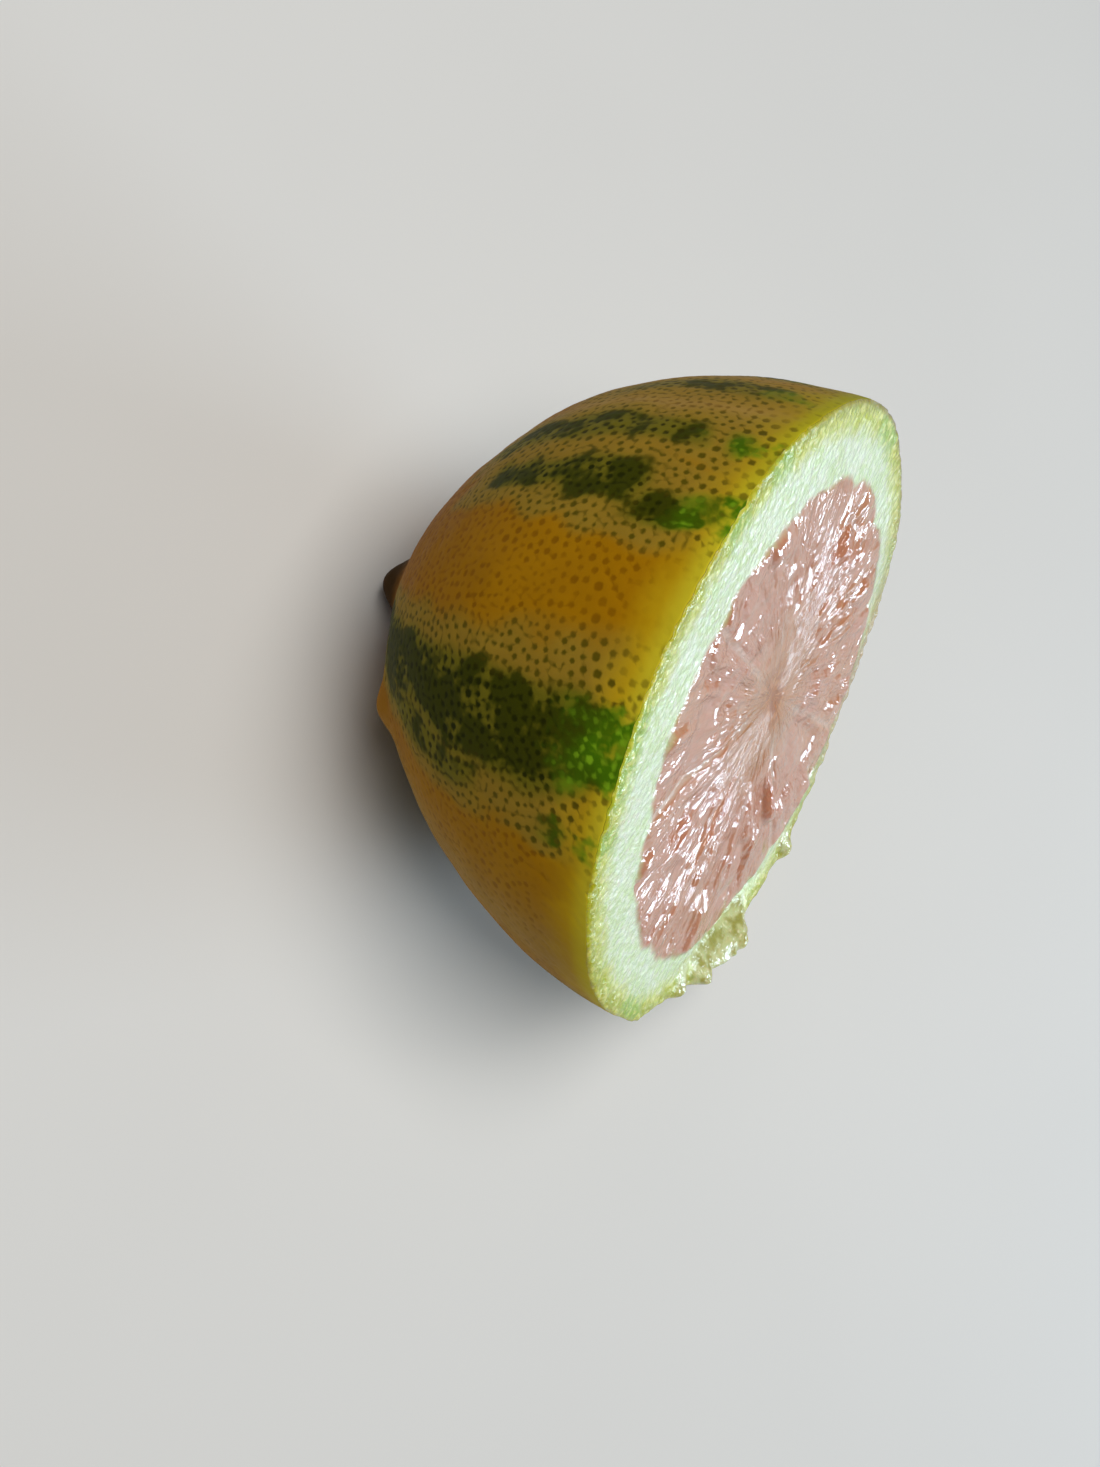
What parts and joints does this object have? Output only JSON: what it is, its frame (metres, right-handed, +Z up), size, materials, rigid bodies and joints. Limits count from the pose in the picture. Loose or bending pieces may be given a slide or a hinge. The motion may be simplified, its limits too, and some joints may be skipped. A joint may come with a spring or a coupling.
{
  "type": "lemon half",
  "caption": "Half of a striped, pink-fleshed lemon, cut across, lying on its rind with the cut face leaning back and the blossom end behind.",
  "frame": {"origin": "on the surface the half rests on, under the middle of its box", "axes": "+Z up; the cut face looks to the front (-Y) and up by 45 degrees; the blossom end points back and down; +X to the right of the cut face"},
  "size_m": [0.0608, 0.0558, 0.0541],
  "materials": {
    "citrus": "waxy striped rind with small oil-gland pits; the cut face is pale pith round wet pink flesh"
  },
  "bodies": {
    "root": {"lemon_half": "citrus"}
  },
  "joints": []
}
